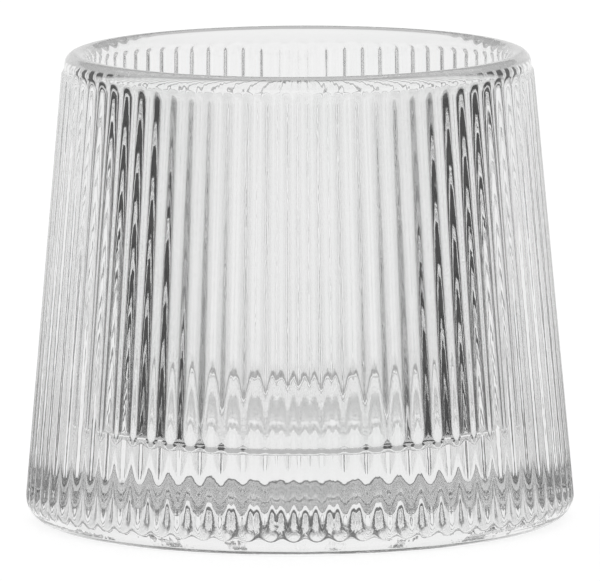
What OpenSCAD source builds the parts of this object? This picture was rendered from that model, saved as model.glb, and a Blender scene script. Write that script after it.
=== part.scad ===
// Clear pressed-glass tea tumbler: a squat glass, wider at the heel than at the rim,
// with straight flutes pressed into the outside and a smooth, drafted inside over a thick base.
// The flutes end in arches, and the ridges in round shoulders, under a smooth round lip, and both run
// out on the rounded heel. The underside is a flat ring round a shallow hollow.
// The real glass is one moulding. It is divided on level planes into the zones that a glassmaker
// names, and each zone meets its neighbours face to face. Millimetres, +Z up, and the origin is
// at the centre of the foot, on the table.

/* [Glass] */
// Overall height, from the foot to the top of the lip
glass_h = 72; // [60:0.5:90]
// Widest outside diameter, across the ridges at the heel
base_d = 84.2; // [78:0.1:92]
// Outside diameter across the tops of the ridges
rim_d = 72.5; // [66:0.1:80]

/* [Lip] */
// Thickness of the lip, which is fully round
lip_t = 3.7; // [3:0.1:5]
// How far the ridges stand out from the lip
lip_step = 0.5; // [0.2:0.05:0.7]
// Radius of the round tops of the ridges
shoulder_r = 1.2; // [0.8:0.1:1.6]
// Drop from the top of the lip to the level where the ridges start to round off
shoulder_drop = 3.2; // [2:0.1:4]

/* [Inside] */
// Thickness of the solid base under the flat of the inner floor
floor_t = 13.4; // [10:0.1:20]
// Diameter of the flat of the inner floor
floor_flat_d = 52; // [40:0.5:56]
// Radius between the inner floor and the inner wall
floor_fillet_r = 2.5; // [2:0.1:8]

/* [Flutes] */
// Number of flutes round the outside
flute_count = 75; // [48:1:80]
// Depth of a flute
flute_depth = 0.8; // [0.3:0.05:0.9]
// Width of the ridge left between two flutes at the heel
ridge_w = 1.1; // [0.6:0.05:1.4]

/* [Foot] */
// Height of the widest level above the table
heel_h = 3.7; // [3.5:0.1:6]
// Radius of the rounded heel
heel_r = 3.8; // [3:0.1:5]
// Slope of the foot band where the heel's round ends, in degrees from upright
foot_slope = 65; // [45:1:68]
// Width of the flat ring that the glass stands on
stand_w = 12; // [4:0.1:16]
// Rise of the hollow under the base
hollow_h = 2.2; // [1:0.1:5]
// Share of the hollow's radius under its domed crown
crown_share = 0.25; // [0.2:0.05:0.8]

/* [Zones] */
// Height of the rim zone, with the lip and the upper ends of the flutes
rim_zone_h = 5; // [4.2:0.1:8]

/* [Hidden] */

// Facets of round faces in the preview
$fn = 150;
// How far a cutter runs past what it cuts
overrun = 1;

// Centre of the lip's round
lip_r = lip_t / 2;
lip_c = [rim_d / 2 - lip_step - lip_r, glass_h - lip_r];
// Centre of the round on top of the ridges
shoulder_c = [rim_d / 2 - shoulder_r, glass_h - shoulder_drop];
// Centre of the heel's round
heel_c = [base_d / 2 - heel_r, heel_h];
// Centre of the fillet over the inner floor
fillet_c = [floor_flat_d / 2, floor_t + floor_fillet_r];

// Lean of the outer wall, which touches the rounds of the heel and the shoulder
outer_run = shoulder_c - heel_c;
outer_lean = atan(-outer_run[0] / outer_run[1]) + asin((heel_r - shoulder_r) / norm(outer_run));
// Lean of the inner wall, which touches the fillet from inside and the lip's round from outside
inner_run = lip_c - fillet_c;
inner_lean = acos((floor_fillet_r + lip_r) / norm(inner_run)) - atan2(inner_run[1], inner_run[0]);

// A point on a round, at an angle above level
function on_round(centre, radius, angle) = centre + radius * [cos(angle), sin(angle)];

// Touching points of the straight stretches of the section
foot_top = on_round(heel_c, heel_r, -foot_slope);
wall_low = on_round(heel_c, heel_r, outer_lean);
wall_top = on_round(shoulder_c, shoulder_r, outer_lean);
lip_low = on_round(lip_c, lip_r, 180 - inner_lean);
fillet_top = on_round(fillet_c, floor_fillet_r, -inner_lean);
foot_edge_r = foot_top[0] - foot_top[1] * tan(foot_slope);

// The hollow's S-shaped slope is two arcs that touch: its crown, and its skirt down to the ring
hollow_edge_r = foot_edge_r - stand_w;
both_r = (hollow_edge_r * hollow_edge_r + hollow_h * hollow_h) / (2 * hollow_h);
crown_r = both_r * crown_share;
skirt_r = both_r - crown_r;

// Levels where one zone ends and the next begins
base_top = fillet_top[1];
rim_low = glass_h - rim_zone_h;

// Outer wall's radius at a level, across the ridges
function wall_r(level) = wall_low[0] - (level - wall_low[1]) * tan(outer_lean);
// Radius of a flute's round section for a width
function flute_r(width) = width * width / (8 * flute_depth) + flute_depth / 2;

// A flute narrows with the wall and keeps its depth: its axis at the heel and over the lip
flute_top = glass_h + overrun;
low_w = PI * base_d / flute_count - ridge_w;
low_r = flute_r(low_w);
top_r = flute_r(low_w * wall_r(flute_top) / wall_r(heel_h));
low_axis = [wall_r(heel_h) - flute_depth + low_r, heel_h];
top_axis = [wall_r(flute_top) - flute_depth + top_r, flute_top];
flute_run = top_axis - low_axis;
flute_l = norm(flute_run);
flute_lean = atan(-flute_run[0] / flute_run[1]);
// The flute's run below the heel level, and its radius at the end
tail_l = (heel_h + overrun) / cos(flute_lean);
tail_r = low_r + (low_r - top_r) * tail_l / flute_l;

// Half of the hollow's section, down to the table
module hollow() {
    difference() {
        union() {
            polygon([
                [0, 0],
                [hollow_edge_r, 0],
                [hollow_edge_r * crown_share, hollow_h * (1 - crown_share)],
                [0, hollow_h]
            ]);
            translate([0, hollow_h - crown_r]) circle(crown_r);
        }
        translate([hollow_edge_r, skirt_r]) circle(skirt_r);
    }
}

// Half of the lip's section
module lip_round() {
    translate(lip_c) circle(lip_r);
}

// Half of the glass's section, with its rounds as true arcs
module section() {
    difference() {
        union() {
            polygon([
                [0, 0],
                [foot_edge_r, 0],
                foot_top,
                wall_low,
                wall_top,
                shoulder_c,
                lip_c,
                lip_low,
                fillet_top,
                [fillet_c[0], floor_t],
                [0, floor_t]
            ]);
            translate(heel_c) circle(heel_r);
            translate(shoulder_c) circle(shoulder_r);
            lip_round();
        }
        translate(fillet_c) circle(floor_fillet_r);
        hollow();
    }
}

// One cutter: a long cone that lies along the wall
module flute() {
    translate([low_axis[0], 0, low_axis[1]])
        rotate([0, -flute_lean, 0])
            translate([0, 0, -tail_l])
                cylinder(h = tail_l + flute_l, r1 = tail_r, r2 = top_r);
}

// The flutes all round, with a ridge facing the front
module flutes() {
    for (i = [0 : flute_count - 1]) {
        rotate((i + 0.5) * 360 / flute_count - 90) flute();
    }
}

// The glass between two levels
module zone(low, high) {
    difference() {
        rotate_extrude() {
            intersection() {
                section();
                translate([0, low]) square([base_d, high - low]);
            }
        }
        flutes();
    }
}

// The flutes and the ridges end against the lip, which stays whole
module rim() {
    color("lightcyan") {
        zone(rim_low, glass_h + overrun);
        rotate_extrude() lip_round();
    }
}

module fluted_wall() {
    color("azure") zone(base_top, rim_low);
}

module base() {
    color("aliceblue") zone(heel_h, base_top);
}

module foot() {
    color("lightblue") zone(0, heel_h);
}

rim();
fluted_wall();
base();
foot();
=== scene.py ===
"""Looks of a clear, fluted tea glass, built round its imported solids.

One continuous wall of glass stands for the four solids, so that light meets no seam inside it. Its half
section is drawn as a wire, turned through one pitch, pressed into one rib, and repeated round the axis.
"""

import logging
import math
from dataclasses import dataclass, field
from enum import Enum
from typing import Any, Callable, Optional, Union

import bmesh
import bpy
from mathutils import Matrix, Vector


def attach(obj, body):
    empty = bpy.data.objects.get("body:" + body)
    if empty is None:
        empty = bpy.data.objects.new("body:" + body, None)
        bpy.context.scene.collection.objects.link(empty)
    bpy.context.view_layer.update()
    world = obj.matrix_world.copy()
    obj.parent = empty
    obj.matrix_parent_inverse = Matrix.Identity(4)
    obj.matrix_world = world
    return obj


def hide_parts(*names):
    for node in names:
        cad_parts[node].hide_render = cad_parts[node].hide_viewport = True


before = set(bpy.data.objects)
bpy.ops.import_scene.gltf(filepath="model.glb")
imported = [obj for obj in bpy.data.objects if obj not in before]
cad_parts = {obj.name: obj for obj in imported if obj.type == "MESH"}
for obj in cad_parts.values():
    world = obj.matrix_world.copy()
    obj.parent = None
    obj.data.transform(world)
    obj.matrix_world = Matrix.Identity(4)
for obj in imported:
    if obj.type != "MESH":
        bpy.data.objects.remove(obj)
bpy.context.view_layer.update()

log = logging.getLogger("tea_glass")

MM = 0.001
PHOTO_WIDTH = 600
WHITE = (1.0, 1.0, 1.0, 1.0)
LIGHT_BOUNCES = 32
GLOSS_BOUNCES = 16

Span = tuple[float, float]
Colour = tuple[float, float, float, float]


class Stretch(Enum):
    """The stretch of the half section that a row of points belongs to."""

    UNDERSIDE = "underside"
    OUTSIDE = "outside"
    INSIDE = "inside"


@dataclass(frozen=True)
class Row:
    """One point of the half section, which becomes a ring of points round the glass."""

    radius: float
    level: float
    stretch: Stretch


@dataclass(frozen=True)
class Round:
    """A round of the half section: its centre and its radius."""

    centre_radius: float
    centre_level: float
    radius: float

    def at(self, angle: float) -> Span:
        """Gives the radius and level of the point at an angle above level."""
        return (
            self.centre_radius + self.radius * math.cos(angle),
            self.centre_level + self.radius * math.sin(angle),
        )


def even(count: int, low: float = 0.0, high: float = 1.0) -> list[float]:
    """Spaces shares evenly.

    Args:
        count: How many shares to give.
        low: The share that the first step starts from, which isn't given.
        high: The last share.

    Returns:
        The shares, the last one being high.
    """
    return [low + (high - low) * step / count for step in range(1, count + 1)]


@dataclass
class SectionWire:
    """The half section, drawn as one wire in the plane of the front ridge and turned into a slice of wall."""

    name: str
    slice_merge: float = 0.0001 * MM
    whole_merge: float = 0.005 * MM
    rows: list[Row] = field(default_factory=list)

    def begin(self, radius: float, level: float, stretch: Stretch) -> bpy.types.Object:
        """Starts the wire as a single point and stays in edit mode.

        Args:
            radius: Distance of the first point from the axis.
            level: Height of the first point.
            stretch: The stretch that the first point belongs to.

        Returns:
            The new object.
        """
        bpy.ops.object.select_all(action="DESELECT")
        bpy.ops.mesh.primitive_plane_add(size=MM, enter_editmode=True, location=(0, 0, 0))
        glass = bpy.context.object
        glass.name = self.name
        glass.data.name = self.name
        bpy.ops.mesh.select_mode(type="VERT")
        bpy.ops.mesh.select_all(action="SELECT")
        bpy.ops.mesh.merge(type="CENTER")
        bpy.ops.transform.translate(value=(0, -radius, level))
        self.rows.append(Row(radius, level, stretch))
        return glass

    def line(self, end: Span, shares: list[float], stretch: Stretch) -> None:
        """Draws a straight stretch by extruding the last point.

        Args:
            end: Radius and level where the stretch ends.
            shares: Shares of the way at which points are set.
            stretch: The stretch that the points belong to.
        """
        start = self.rows[-1]
        for share in shares:
            last = self.rows[-1]
            radius = start.radius + (end[0] - start.radius) * share
            level = start.level + (end[1] - start.level) * share
            move = (0, last.radius - radius, level - last.level)
            bpy.ops.mesh.extrude_vertices_move(TRANSFORM_OT_translate={"value": move})
            self.rows.append(Row(radius, level, stretch))

    def bend(self, about: Round, sweep: float, steps: int, stretch: Stretch) -> None:
        """Draws a round stretch by spinning the last point.

        Args:
            about: The round that the stretch follows.
            sweep: Angle turned through, upwards on the outer side if positive.
            steps: How many points are set.
            stretch: The stretch that the points belong to.
        """
        last = self.rows[-1]
        start = math.atan2(last.level - about.centre_level, last.radius - about.centre_radius)
        bpy.ops.mesh.spin(
            steps=steps,
            angle=sweep,
            center=(0, -about.centre_radius, about.centre_level),
            axis=(1, 0, 0),
        )
        for step in range(1, steps + 1):
            self.rows.append(Row(*about.at(start + sweep * step / steps), stretch))

    def turn(self, pitch: float, columns: int) -> None:
        """Turns the wire about the glass's axis into a slice one pitch wide.

        Args:
            pitch: Angle of the slice.
            columns: How many steps the slice has.
        """
        bpy.ops.mesh.select_all(action="SELECT")
        bpy.ops.mesh.spin(steps=columns, angle=pitch, center=(0, 0, 0), axis=(0, 0, 1))
        bpy.ops.mesh.select_all(action="SELECT")
        bpy.ops.mesh.remove_doubles(threshold=self.slice_merge)

    def repeat(self, count: int) -> None:
        """Copies the slice all round the axis, joins the copies and turns their faces outwards.

        Args:
            count: How many slices the whole has.
        """
        bpy.ops.mesh.select_all(action="SELECT")
        bpy.ops.mesh.spin(
            steps=count - 1,
            dupli=True,
            angle=2 * math.pi * (count - 1) / count,
            center=(0, 0, 0),
            axis=(0, 0, 1),
        )
        bpy.ops.mesh.select_all(action="SELECT")
        bpy.ops.mesh.remove_doubles(threshold=self.whole_merge)
        bpy.ops.mesh.normals_make_consistent(inside=False)
        bpy.ops.object.mode_set(mode="OBJECT")

    @staticmethod
    def select(mesh: bpy.types.Mesh, test: Callable[[Vector], bool]) -> int:
        """Selects the points of the edited mesh that pass a test of their place.

        Args:
            mesh: The mesh that is being edited.
            test: Tells from a point's place whether it is selected.

        Returns:
            How many points are selected.
        """
        edited = bmesh.from_edit_mesh(mesh)
        count = 0
        for point in edited.verts:
            point.select_set(test(point.co))
            count += point.select
        edited.select_flush_mode()
        bmesh.update_edit_mesh(mesh, loop_triangles=False, destructive=False)
        return count


@dataclass(frozen=True)
class RibPattern:
    """The ribs pressed round the outside: soft waves that run out on the heel and end under the lip."""

    count: int = 75
    columns: int = 12
    depth: float = 0.8 * MM
    blend: float = 0.06 * MM
    row_reach: float = 0.001 * MM
    column_reach: float = 0.1
    heel_depth_share: float = 0.4
    heel_span: Span = (1.5 * MM, 5.0 * MM)
    flute_end: Span = (67.9 * MM, 69.1 * MM)
    ridge_end: Span = (68.6 * MM, 69.9 * MM)

    @property
    def pitch(self) -> float:
        """Gives the angle from one ridge to the next."""
        return 2 * math.pi / self.count

    @staticmethod
    def eased(level: float, span: Span) -> float:
        """Gives a share that rises smoothly from 0 where a span starts to 1 where it ends."""
        share = min(max((level - span[0]) / (span[1] - span[0]), 0.0), 1.0)
        return share * share * (3 - 2 * share)

    def holds(self, place: Vector, row: Row, turned: float) -> bool:
        """Tells whether a point of the slice lies in a row and in one of a pair of columns.

        Args:
            place: The point's place.
            row: The row.
            turned: Share of a pitch from the nearest ridge to the columns.

        Returns:
            Whether it lies in both.
        """
        aside = abs(math.hypot(place.x, place.y) - row.radius)
        share = abs(math.atan2(place.x, -place.y)) / self.pitch
        in_row = abs(place.z - row.level) <= self.row_reach and aside <= self.row_reach
        return in_row and abs(min(share, 1 - share) - turned) < self.column_reach / self.columns

    def depth_at(self, level: float) -> float:
        """Gives a flute's depth, which eases off where the flutes near the heel."""
        full_share = self.eased(level, self.heel_span)
        return self.depth * (self.heel_depth_share + (1 - self.heel_depth_share) * full_share)

    def radius(self, turned: float, level: float, ridge: float, smooth: float, lip: float) -> float:
        """Gives the outside radius at a place on the ribbed wall.

        Args:
            turned: Share of a pitch turned from the nearest ridge.
            level: Height above the table.
            ridge: Radius of the ridges' cone at this level.
            smooth: Radius of the unribbed section at this level.
            lip: Radius of the lip's round at this level.

        Returns:
            The smaller of the rib's radius and the smooth one, blended where they cross, and near the top the
            lip's radius with what is left of the ridge or the flute.
        """
        crest = 0.5 * (1 + math.cos(2 * math.pi * turned))
        ribbed = ridge - self.depth_at(level) * (1 - crest)
        near = max(1 - abs(ribbed - smooth) / (2 * self.blend), 0.0)
        rounding = near * near * self.blend / 2
        if level <= self.flute_end[0]:
            return min(ribbed, smooth) - rounding
        over = crest * (ridge - rounding - lip) * (1 - self.eased(level, self.ridge_end))
        under = (1 - crest) * (ridge - self.depth - lip) * (1 - self.eased(level, self.flute_end))
        return lip + over + under


Value = Union[float, tuple, "Sock", bpy.types.NodeSocket]


class Sock:
    """A number carried by a shader socket, joined to others by Python's own operators."""

    def __init__(self, sheet: "NodeSheet", socket: bpy.types.NodeSocket) -> None:
        """Wraps a socket of a sheet of nodes."""
        self.sheet = sheet
        self.socket = socket

    def _math(self, operation: str, first: Value, second: Value = 0.0) -> "Sock":
        """Adds a Math node and gives its result."""
        made = self.sheet.node("ShaderNodeMath", {"operation": operation}, {0: first, 1: second})
        return Sock(self.sheet, made.outputs[0])

    def __add__(self, other: Value) -> "Sock":
        """Adds a value."""
        return self._math("ADD", self, other)

    def __radd__(self, other: Value) -> "Sock":
        """Adds to a value."""
        return self._math("ADD", other, self)

    def __sub__(self, other: Value) -> "Sock":
        """Takes a value away."""
        return self._math("SUBTRACT", self, other)

    def __rsub__(self, other: Value) -> "Sock":
        """Takes away from a value."""
        return self._math("SUBTRACT", other, self)

    def __mul__(self, other: Value) -> "Sock":
        """Multiplies by a value."""
        return self._math("MULTIPLY", self, other)

    def __rmul__(self, other: Value) -> "Sock":
        """Multiplies a value."""
        return self._math("MULTIPLY", other, self)

    def __abs__(self) -> "Sock":
        """Drops the sign."""
        return self._math("ABSOLUTE", self)

    def arctan2(self, other: Value) -> "Sock":
        """Gives the angle whose opposite side is this and whose near side is the other."""
        return self._math("ARCTAN2", self, other)

    def arcsine(self) -> "Sock":
        """Gives the angle whose sine this is."""
        return self._math("ARCSINE", self)

    def eased(self, low: float, high: float) -> "Sock":
        """Eases this number into a share.

        Args:
            low: Where the share is still 0.
            high: Where the share reaches 1.

        Returns:
            The share, which rises smoothly between them.
        """
        made = self.sheet.node(
            "ShaderNodeMapRange",
            {"interpolation_type": "SMOOTHSTEP"},
            {"Value": self, "From Min": low, "From Max": high, "To Min": 0.0, "To Max": 1.0},
        )
        return Sock(self.sheet, made.outputs[0])

    def towards(self, other: Value, share: Value) -> "Sock":
        """Gives this number, moved towards another by a share."""
        return self + (other - self) * share


class NodeSheet:
    """The nodes of one material or world."""

    def __init__(self, tree: bpy.types.NodeTree) -> None:
        """Clears a node tree and takes it over."""
        self.tree = tree
        self.tree.nodes.clear()

    def node(
        self,
        kind: str,
        settings: Optional[dict[str, Any]] = None,
        sockets: Optional[dict[Union[str, int], Value]] = None,
    ) -> bpy.types.Node:
        """Adds a node.

        Args:
            kind: The node's type.
            settings: Properties of the node, which are set first.
            sockets: Values or links of its inputs, by name or place.

        Returns:
            The node.
        """
        made = self.tree.nodes.new(kind)
        for name, value in (settings or {}).items():
            setattr(made, name, value)
        for key, value in (sockets or {}).items():
            if isinstance(value, Sock):
                self.tree.links.new(value.socket, made.inputs[key])
            elif isinstance(value, bpy.types.NodeSocket):
                self.tree.links.new(value, made.inputs[key])
            else:
                made.inputs[key].default_value = value
        return made

    def sock(self, node: bpy.types.Node, output: Union[str, int] = 0) -> Sock:
        """Wraps one output of a node."""
        return Sock(self, node.outputs[output])


@dataclass(frozen=True)
class ClearGlass:
    """Clear, fire-polished soda-lime glass, with the faint waves and streaks that pressing leaves."""

    name: str = "clear_glass"
    refraction: float = 1.5
    clear_tint: Colour = WHITE
    streak_tint: Colour = (0.975, 0.985, 0.98, 1.0)
    tint_span: Span = (0.45, 0.75)
    most_roughness: float = 0.012
    rough_span: Span = (0.4, 0.8)
    wave_size: float = 4 * MM
    wave_height: float = 0.06 * MM
    wave_roughness: float = 0.5
    streak_share: float = 0.3
    streak_roughness: float = 0.6
    detail: float = 3.0
    drawn_out: tuple[float, float, float] = (1.0, 1.0, 0.6)

    def _noise(self, sheet: NodeSheet, place: bpy.types.NodeSocket, scale: float, roughness: float) -> Sock:
        """Adds a cloudy pattern.

        Args:
            sheet: The sheet that the pattern is drawn on.
            place: Where on the glass a point lies.
            scale: How many patches there are to a metre.
            roughness: How strong the finer patches are.

        Returns:
            The pattern, about 0.5 on average.
        """
        sockets = {"Vector": place, "Scale": scale, "Detail": self.detail, "Roughness": roughness}
        return sheet.sock(sheet.node("ShaderNodeTexNoise", {"noise_dimensions": "3D"}, sockets))

    def make(self) -> bpy.types.Material:
        """Builds the material.

        Returns:
            The material.
        """
        material = bpy.data.materials.new(self.name)
        material.use_nodes = True
        sheet = NodeSheet(material.node_tree)
        place = sheet.node("ShaderNodeTexCoord").outputs["Object"]
        mapped = sheet.node("ShaderNodeMapping", {}, {"Vector": place, "Scale": self.drawn_out})
        drawn = mapped.outputs["Vector"]
        waves = self._noise(sheet, drawn, 1 / self.wave_size, self.wave_roughness)
        streaks = self._noise(sheet, drawn, self.streak_share / self.wave_size, self.streak_roughness)
        tint = sheet.node(
            "ShaderNodeMix",
            {"data_type": "RGBA"},
            {"Factor": streaks.eased(*self.tint_span), 6: self.clear_tint, 7: self.streak_tint},
        ).outputs[2]
        rough = streaks.eased(*self.rough_span) * self.most_roughness
        bump = sheet.node(
            "ShaderNodeBump", {}, {"Strength": 1.0, "Distance": self.wave_height, "Height": waves}
        ).outputs["Normal"]
        shader = sheet.node(
            "ShaderNodeBsdfPrincipled",
            {},
            {
                "Base Color": tint,
                "Roughness": rough,
                "IOR": self.refraction,
                "Transmission Weight": 1.0,
                "Normal": bump,
            },
        )
        sheet.node("ShaderNodeOutputMaterial", {}, {"Surface": shader.outputs[0]})
        return material


@dataclass
class TeaGlass:
    """The glass itself: one moulding, whose sizes repeat those of the solids."""

    height: float = 72 * MM
    heel_radius: float = 42.1 * MM
    ridge_radius: float = 36.25 * MM
    shoulder_round: float = 1.2 * MM
    shoulder_drop: float = 3.2 * MM
    lip_step: float = 0.5 * MM
    lip_round: float = 1.85 * MM
    floor_level: float = 13.4 * MM
    floor_flat_radius: float = 26 * MM
    floor_fillet: float = 2.5 * MM
    heel_level: float = 3.7 * MM
    heel_round: float = 3.8 * MM
    foot_slope: float = math.radians(65)
    foot_edge_round: float = 0.2 * MM
    stand_width: float = 12 * MM
    hollow_rise: float = 2.2 * MM
    crown_share: float = 0.25
    crown_steps: int = 7
    skirt_steps: int = 8
    edge_steps: int = 2
    heel_steps: int = 18
    rib_end_steps: int = 18
    rib_end_gap: float = 0.04 * MM
    lip_outer_steps: int = 12
    lip_inner_steps: int = 11
    fillet_steps: int = 7
    wall_start_steps: int = 4
    wall_start_share: float = 0.016
    ribs: RibPattern = field(default_factory=RibPattern)
    piece: Optional[bpy.types.Object] = None

    def __post_init__(self) -> None:
        """Works out the rounds of the section and the leans of its walls."""
        self.heel = Round(self.heel_radius - self.heel_round, self.heel_level, self.heel_round)
        lip_radius = self.ridge_radius - self.lip_step - self.lip_round
        self.lip = Round(lip_radius, self.height - self.lip_round, self.lip_round)
        self.fillet = Round(self.floor_flat_radius, self.floor_level + self.floor_fillet, self.floor_fillet)
        run = self.heel.centre_radius - self.ridge_radius + self.shoulder_round
        rise = self.height - self.shoulder_drop - self.heel_level
        touch = math.asin((self.heel_round - self.shoulder_round) / math.hypot(run, rise))
        self.outer_lean = math.atan2(run, rise) + touch
        across = self.lip.centre_radius - self.fillet.centre_radius
        along = self.lip.centre_level - self.fillet.centre_level
        touch = math.acos((self.floor_fillet + self.lip_round) / math.hypot(across, along))
        self.inner_lean = touch - math.atan2(along, across)
        foot_top = self.heel.at(-self.foot_slope)
        self.foot_edge_radius = foot_top[0] - foot_top[1] * math.tan(self.foot_slope)
        self.stand_inner_radius = self.foot_edge_radius - self.stand_width

    def ridge_at(self, level: float) -> float:
        """Gives the radius of the ridges' cone at a level."""
        low = self.heel.at(self.outer_lean)
        return low[0] - (level - low[1]) * math.tan(self.outer_lean)

    def lip_at(self, level: float) -> float:
        """Gives the outer radius of the lip's round at a level, or its widest below its middle."""
        above = max(level - self.lip.centre_level, 0.0)
        return self.lip.centre_radius + math.sqrt(max(self.lip_round**2 - above**2, 0.0))

    def build(self) -> bpy.types.Object:
        """Models the glass.

        Returns:
            The finished piece.
        """
        wire = SectionWire("glass_wall")
        self.piece = wire.begin(0.0, self.hollow_rise, Stretch.UNDERSIDE)
        self._draw_underside(wire)
        self._draw_outside(wire)
        self._draw_inside(wire)
        wire.turn(self.ribs.pitch, self.ribs.columns)
        self._press_ribs(wire)
        wire.repeat(self.ribs.count)
        bpy.ops.object.shade_smooth()
        return self.piece

    def _draw_underside(self, wire: SectionWire) -> None:
        """Draws the S-shaped hollow and the ring that the glass stands on.

        Args:
            wire: The half section.
        """
        under = Stretch.UNDERSIDE
        edge, rise = self.stand_inner_radius, self.hollow_rise
        both = (edge * edge + rise * rise) / (2 * rise)
        crown, skirt = both * self.crown_share, both * (1 - self.crown_share)
        sweep = math.asin(edge * self.crown_share / crown)
        wire.bend(Round(0.0, rise - crown, crown), -sweep, self.crown_steps, under)
        wire.bend(Round(edge, skirt, skirt), sweep, self.skirt_steps, under)
        turned = math.pi / 2 - self.foot_slope
        inset = self.foot_edge_round * math.tan(turned / 2)
        wire.line((self.foot_edge_radius - inset, 0.0), [0.05, 0.95, 1.0], under)
        foot_edge = Round(self.foot_edge_radius - inset, self.foot_edge_round, self.foot_edge_round)
        wire.bend(foot_edge, turned, self.edge_steps, Stretch.OUTSIDE)

    def _draw_outside(self, wire: SectionWire) -> None:
        """Draws the foot band, the heel, the wall and the outer half of the lip.

        Args:
            wire: The half section.
        """
        out = Stretch.OUTSIDE
        wire.line(self.heel.at(-self.foot_slope), [1.0], out)
        wire.bend(self.heel, self.foot_slope + self.outer_lean, self.heel_steps, out)
        low, high = self.ribs.flute_end[0], self.ribs.ridge_end[1]
        wall_start = even(self.wall_start_steps, 0.0, self.wall_start_share)
        wire.line((self.ridge_at(low), low), wall_start + [0.1, 0.4, 0.7, 0.97, 1.0], out)
        wire.line((self.ridge_at(high), high), even(self.rib_end_steps), out)
        start = math.asin((high + self.rib_end_gap - self.lip.centre_level) / self.lip_round)
        wire.line(self.lip.at(start), [1.0], out)
        wire.bend(self.lip, math.pi / 2 - start, self.lip_outer_steps, out)

    def _draw_inside(self, wire: SectionWire) -> None:
        """Draws the inner half of the lip, the inner wall, the fillet and the inner floor, to the axis.

        Args:
            wire: The half section.
        """
        inside = Stretch.INSIDE
        wire.bend(self.lip, math.pi / 2 - self.inner_lean, self.lip_inner_steps, inside)
        wire.line(self.fillet.at(-self.inner_lean), [0.02, 0.35, 0.65, 0.98, 1.0], inside)
        wire.bend(self.fillet, self.inner_lean - math.pi / 2, self.fillet_steps, inside)
        wire.line((0.0, self.floor_level), [0.05, 0.5, 1.0], inside)

    def _press_ribs(self, wire: SectionWire) -> None:
        """Presses the outside of the slice into one rib, one row and one pair of columns at a time.

        Args:
            wire: The half section, which knows its rows.
        """
        for row in wire.rows:
            if row.stretch is not Stretch.OUTSIDE:
                continue
            ridge, lip = self.ridge_at(row.level), self.lip_at(row.level)
            for column in range(self.ribs.columns // 2 + 1):
                turned = column / self.ribs.columns
                scale = self.ribs.radius(turned, row.level, ridge, row.radius, lip) / row.radius
                # A move shorter than the merging distance isn't worth making.
                if abs(1 - scale) * row.radius < wire.slice_merge:
                    continue
                if wire.select(self.piece.data, lambda place: self.ribs.holds(place, row, turned)):
                    bpy.ops.transform.resize(value=(scale, scale, 1), center_override=(0, 0, row.level))

    def dress(self, finish: ClearGlass) -> None:
        """Gives the glass its finish and its place in the frame.

        Args:
            finish: The finish of the glass.
        """
        self.piece.data.materials.clear()
        self.piece.data.materials.append(finish.make())
        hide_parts("rim", "fluted_wall", "base", "foot")
        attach(self.piece, "root")


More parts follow.
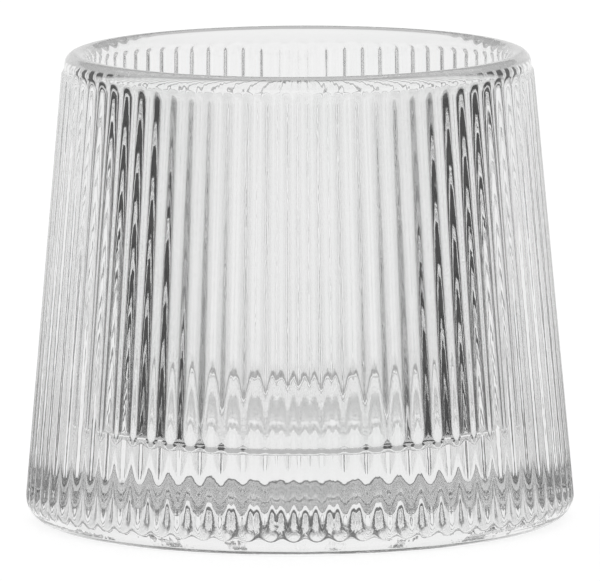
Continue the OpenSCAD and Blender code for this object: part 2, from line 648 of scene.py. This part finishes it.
@dataclass(frozen=True)
class Studio:
    """The room that the glass mirrors, and the floor that it stands on.

    A white sweep stands behind the glass, a dark flag low on either side, and a dark room in front over a
    pale floor. A dark gap runs round under a pale ceiling. Levels are brightnesses. Spans are angles in
    degrees, aside from straight behind or above level, over which one part of the room eases into the next.
    """

    back_level: float = 0.9
    flag_level: float = 0.06
    side_level: float = 0.5
    front_level: float = 0.8
    room_level: float = 0.0
    top_level: float = 0.6
    table_level: float = 0.5
    gap_level: float = 0.15
    flag_start: Span = (45.0, 53.0)
    flag_top: Span = (-12.0, -6.0)
    front_start: Span = (95.0, 107.0)
    front_top: Span = (-4.0, 2.0)
    room_top: Span = (38.0, 48.0)
    top_start: Span = (64.0, 76.0)
    table_top: Span = (-46.0, -38.0)
    gap_low: Span = (16.0, 21.0)
    gap_high: Span = (35.5, 40.5)
    facing: float = -1.04
    floor_size: float = 4.0
    floor_gain: float = 1.68
    floor_drop: float = 0.05 * MM
    floor_tint: Colour = (0.9, 0.9, 0.9, 1.0)
    shade_share: float = 0.5

    @staticmethod
    def past(angle: Sock, span: Span) -> Sock:
        """Gives a share that rises from 0 to 1 as an angle passes a span in degrees."""
        return angle.eased(*map(math.radians, span))

    def light(self) -> None:
        """Sets the world: plain white to the camera, and the studio to the glass."""
        world = bpy.data.worlds.new("studio")
        world.use_nodes = True
        bpy.context.scene.world = world
        sheet = NodeSheet(world.node_tree)
        ray = sheet.node("ShaderNodeTexCoord").outputs["Generated"]
        parts = sheet.node("ShaderNodeSeparateXYZ", {}, {"Vector": ray})
        across, ahead, up = (sheet.sock(parts, name) for name in ("X", "Y", "Z"))
        aside = abs(across.arctan2(ahead) + math.radians(self.facing))
        raised = up.arcsine()
        flag = self.past(raised, self.flag_top) * (self.side_level - self.flag_level) + self.flag_level
        front = self.past(raised, self.front_top) * (self.room_level - self.front_level) + self.front_level
        front = front.towards(self.top_level, self.past(raised, self.room_top))
        level = flag.towards(self.back_level, 1 - self.past(aside, self.flag_start))
        level = level.towards(front, self.past(aside, self.front_start))
        level = level.towards(self.top_level, self.past(raised, self.top_start))
        level = level.towards(self.table_level, 1 - self.past(raised, self.table_top))
        gap = self.past(raised, self.gap_low) * (1 - self.past(raised, self.gap_high))
        level = level.towards(self.gap_level, gap)
        seen = sheet.node("ShaderNodeBackground", {}, {"Strength": 1.0, "Color": WHITE})
        cast = sheet.node("ShaderNodeBackground", {}, {"Strength": level, "Color": WHITE})
        path = sheet.node("ShaderNodeLightPath")
        both = sheet.node(
            "ShaderNodeMixShader",
            {},
            {0: path.outputs["Is Camera Ray"], 1: cast.outputs[0], 2: seen.outputs[0]},
        )
        sheet.node("ShaderNodeOutputWorld", {}, {"Surface": both.outputs[0]})

    def lay_floor(self) -> bpy.types.Object:
        """Lays the pale floor, which keeps a soft shadow of the glass.

        Returns:
            The floor.
        """
        bpy.ops.object.select_all(action="DESELECT")
        bpy.ops.mesh.primitive_plane_add(size=self.floor_size, location=(0, 0, 0))
        floor = bpy.context.object
        floor.name = "floor"
        bpy.ops.object.mode_set(mode="EDIT")
        bpy.ops.mesh.select_all(action="SELECT")
        bpy.ops.transform.translate(value=(0, 0, -self.floor_drop))
        bpy.ops.object.mode_set(mode="OBJECT")
        material = bpy.data.materials.new("pale_floor")
        material.use_nodes = True
        sheet = NodeSheet(material.node_tree)
        white = sheet.node("ShaderNodeEmission", {}, {"Color": WHITE, "Strength": self.floor_gain})
        matte = sheet.node("ShaderNodeBsdfDiffuse", {}, {"Color": self.floor_tint})
        shares = {0: self.shade_share, 1: white.outputs[0], 2: matte.outputs[0]}
        both = sheet.node("ShaderNodeMixShader", {}, shares)
        sheet.node("ShaderNodeOutputMaterial", {}, {"Surface": both.outputs[0]})
        floor.data.materials.append(material)
        floor.visible_transmission = False
        floor.visible_glossy = False
        floor.visible_diffuse = False
        return floor


@dataclass(frozen=True)
class PhotoCamera:
    """The camera where the photograph was taken from: far off and a little above the rim."""

    distance: float = 2.2
    eye_level: float = 0.329
    target_level: float = 0.035
    swing: float = -1.04
    roll: float = -0.29
    sensor: float = 36.0
    pixels_per_metre: float = 6520.0
    shift: float = 0.00177
    reach: float = 100.0

    def place(self) -> bpy.types.Object:
        """Sets the camera up.

        Returns:
            The camera.
        """
        turned = math.radians(self.swing)
        eye = Vector((self.distance * math.sin(turned), -self.distance * math.cos(turned), self.eye_level))
        target = Vector((0.0, 0.0, self.target_level))
        look = (target - eye).to_track_quat("-Z", "Y").to_matrix().to_4x4()
        data = bpy.data.cameras.new("photo_camera")
        camera = bpy.data.objects.new("photo_camera", data)
        bpy.context.collection.objects.link(camera)
        roll = Matrix.Rotation(math.radians(self.roll), 4, "Z")
        camera.matrix_world = Matrix.Translation(eye) @ look @ roll
        data.sensor_width = self.sensor
        data.lens = self.sensor * self.pixels_per_metre * (target - eye).length / PHOTO_WIDTH
        data.shift_x = self.shift
        data.clip_end = self.reach
        bpy.context.scene.camera = camera
        return camera


def main() -> None:
    """Builds the glass, its studio and its camera, in that order."""
    logging.basicConfig(level=logging.INFO, format="%(name)s: %(message)s")
    scene = bpy.context.scene
    scene.view_settings.view_transform = "Standard"
    scene.cycles.max_bounces = LIGHT_BOUNCES
    scene.cycles.transmission_bounces = LIGHT_BOUNCES
    scene.cycles.glossy_bounces = GLOSS_BOUNCES
    glass = TeaGlass()
    piece = glass.build()
    glass.dress(ClearGlass())
    log.info("%s: %d points, %d faces", piece.name, len(piece.data.vertices), len(piece.data.polygons))
    studio = Studio()
    studio.light()
    log.info("%s: the table under the glass", studio.lay_floor().name)
    log.info("%s: the photograph's view", PhotoCamera().place().name)


if __name__ == "__main__":
    main()
